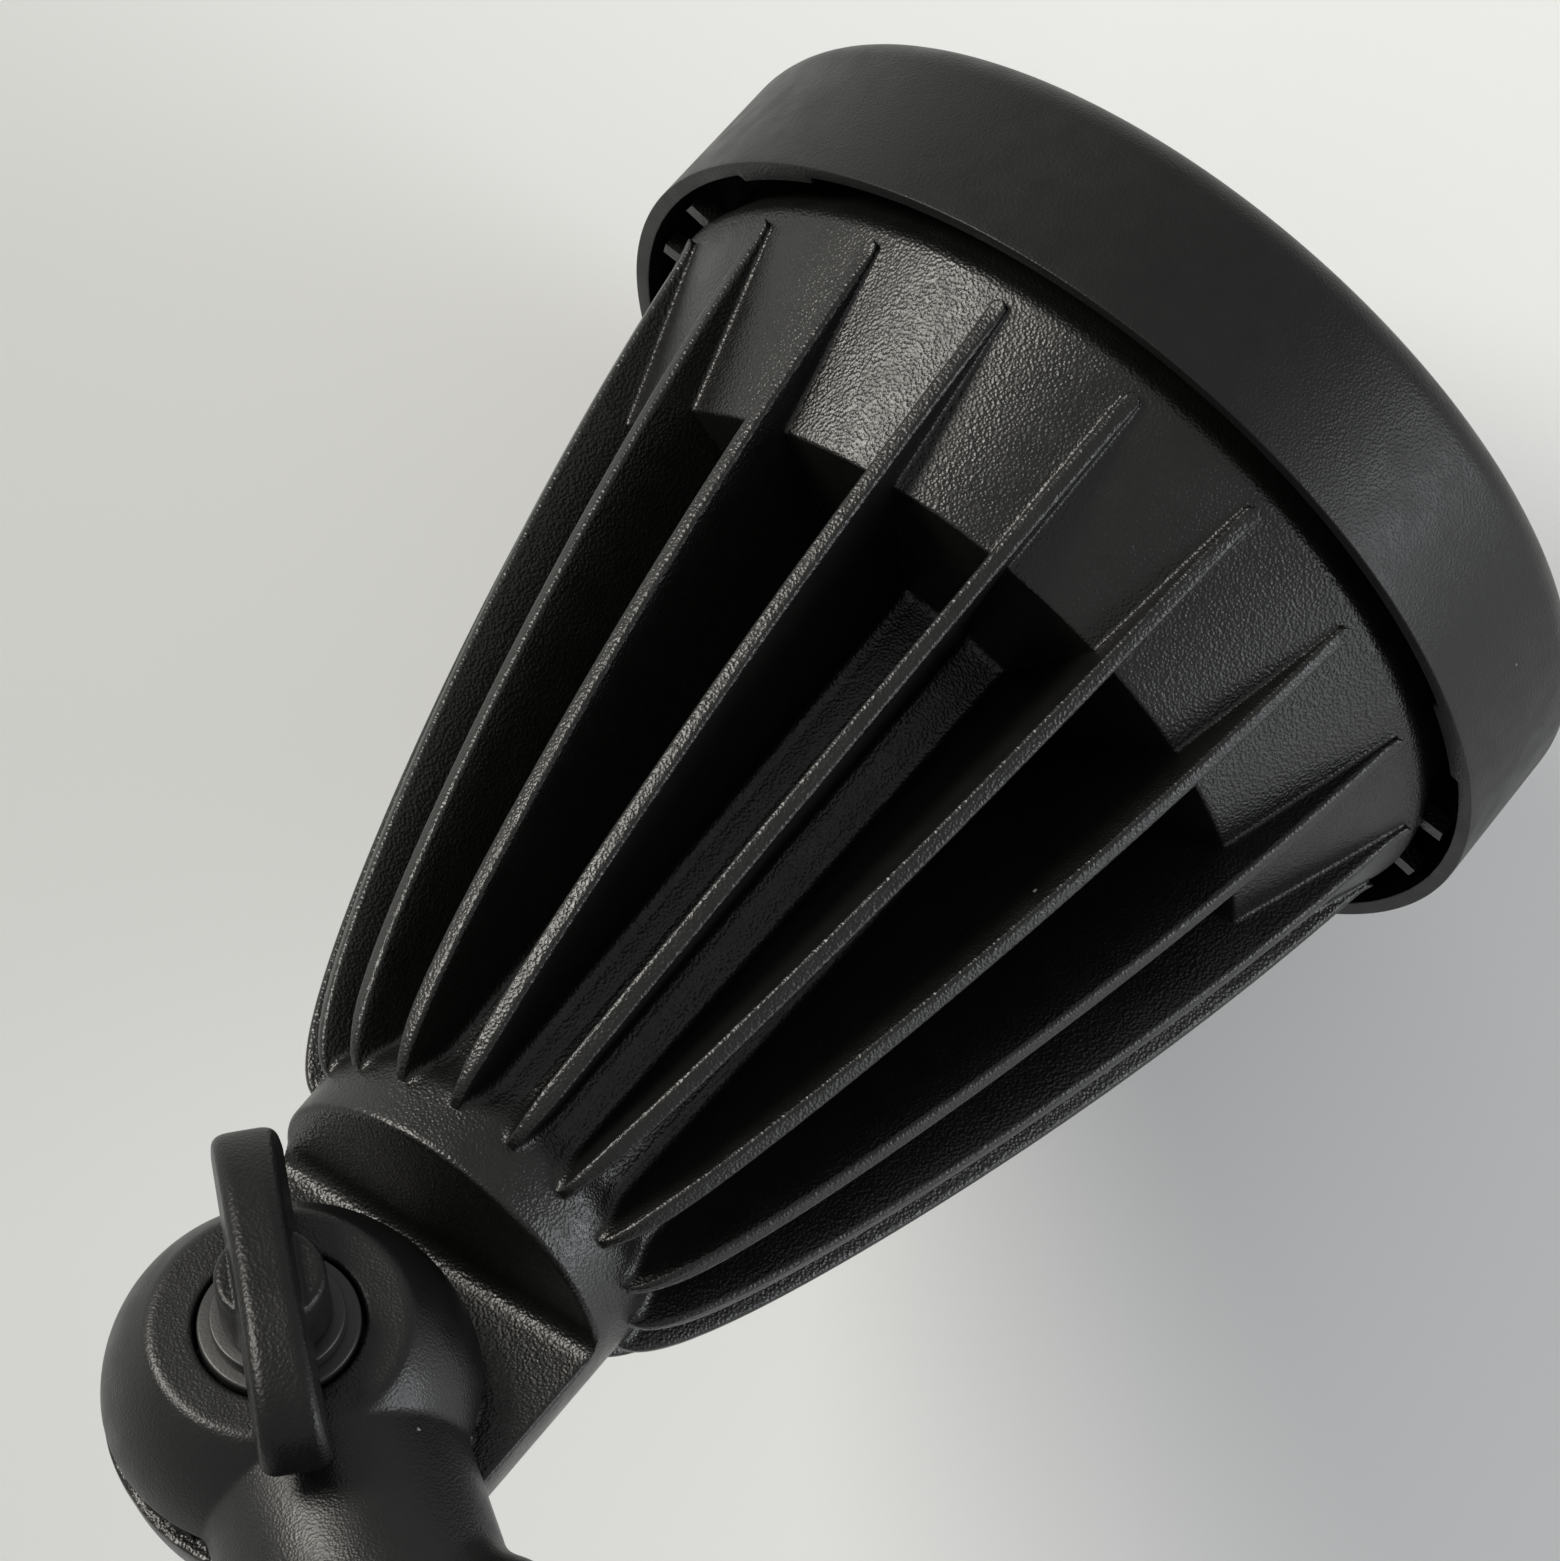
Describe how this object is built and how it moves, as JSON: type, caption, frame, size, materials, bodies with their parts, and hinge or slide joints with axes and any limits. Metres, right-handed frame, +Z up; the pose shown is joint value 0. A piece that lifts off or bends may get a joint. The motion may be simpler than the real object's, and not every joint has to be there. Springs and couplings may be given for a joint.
{
  "type": "garden spike spotlight",
  "caption": "Black garden spotlight: finned conical head with a plain front ring, toothed tilting knuckle with a thumb screw, stem with a side cord gland, on a ground spike.",
  "frame": {"origin": "on the spike's axis at ground level, at the underside of the driving flange", "axes": "+Z up along the spike and the stem, -Y the way the head leans and shines, -X the side of the thumb screw"},
  "size_m": [0.0998, 0.1644, 0.3843],
  "materials": {
    "cast_body": "die-cast, matt black powder coat over a spark-eroded grain",
    "ring_band": "smooth satin black coat",
    "clear_glass": "clear toughened glass",
    "seal_rubber": "moulded matt rubber",
    "reflector_metal": "bright metallised",
    "bare_aluminium": "bare, machined",
    "thermal_grey": "soft thermal sheet",
    "board_white": "white solder mask",
    "phosphor_yellow": "silicone phosphor",
    "holder_white": "moulded white",
    "screw_steel": "plain stainless steel",
    "washer_dark": "blackened steel",
    "sleeve_grey": "insulating sheet",
    "board_green": "green solder mask",
    "transformer_yellow": "winding tape",
    "capacitor_sleeve": "shrink sleeve",
    "wing_plastic": "moulded, satin black",
    "stem_body": "die-cast, matt black powder coat over a fine grain",
    "gland_plastic": "moulded black",
    "nut_plastic": "moulded black",
    "spike_plastic": "moulded black"
  },
  "bodies": {
    "base": {"spike": "spike_plastic", "spigot_seal": "seal_rubber", "lock_nut": "nut_plastic", "stem": "stem_body", "gland_nut": "gland_plastic", "gland_washer": "screw_steel", "gland_seal": "seal_rubber"},
    "head": {"head_housing": "cast_body", "tab_nut": "screw_steel", "reflector": "reflector_metal", "carrier_plate": "bare_aluminium", "thermal_pad": "thermal_grey", "led_board": "board_white", "led_phosphor": "phosphor_yellow", "board_holder": "holder_white", "holder_screws": "screw_steel", "plate_screws": "screw_steel", "driver_sleeve": "sleeve_grey", "driver_board": "board_green", "driver_transformer": "transformer_yellow", "driver_capacitors": "capacitor_sleeve"},
    "ring": {"front_ring": "ring_band", "lens_glass": "clear_glass", "lens_gasket": "seal_rubber"},
    "washers": {"flat_washer": "washer_dark", "spring_washer": "washer_dark"},
    "screw": {"thumb_wing": "wing_plastic", "thumb_stud": "screw_steel"}
  },
  "joints": [
    {"name": "tilt", "type": "hinge", "parent": "base", "child": "head", "pos_m": [0, 0.001, 0.0825], "axis": [1, 0, 0], "range_deg": [-144, 36]},
    {"name": "ring_lift", "type": "slide", "parent": "head", "child": "ring", "axis": [0, -0.809, 0.5878], "range_m": [0, 0.03]},
    {"name": "screw_travel", "type": "slide", "parent": "head", "child": "washers", "axis": [-1, 0, 0], "range_m": [0, 0.0015]},
    {"name": "screw_turn", "type": "hinge", "parent": "washers", "child": "screw", "pos_m": [0, 0.001, 0.0825], "axis": [-1, 0, 0], "range_deg": [0, 540]}
  ],
  "couplings": [
    {"joint": "screw_travel", "follows": "screw_turn", "m_per_rad": 0.00015915}
  ]
}
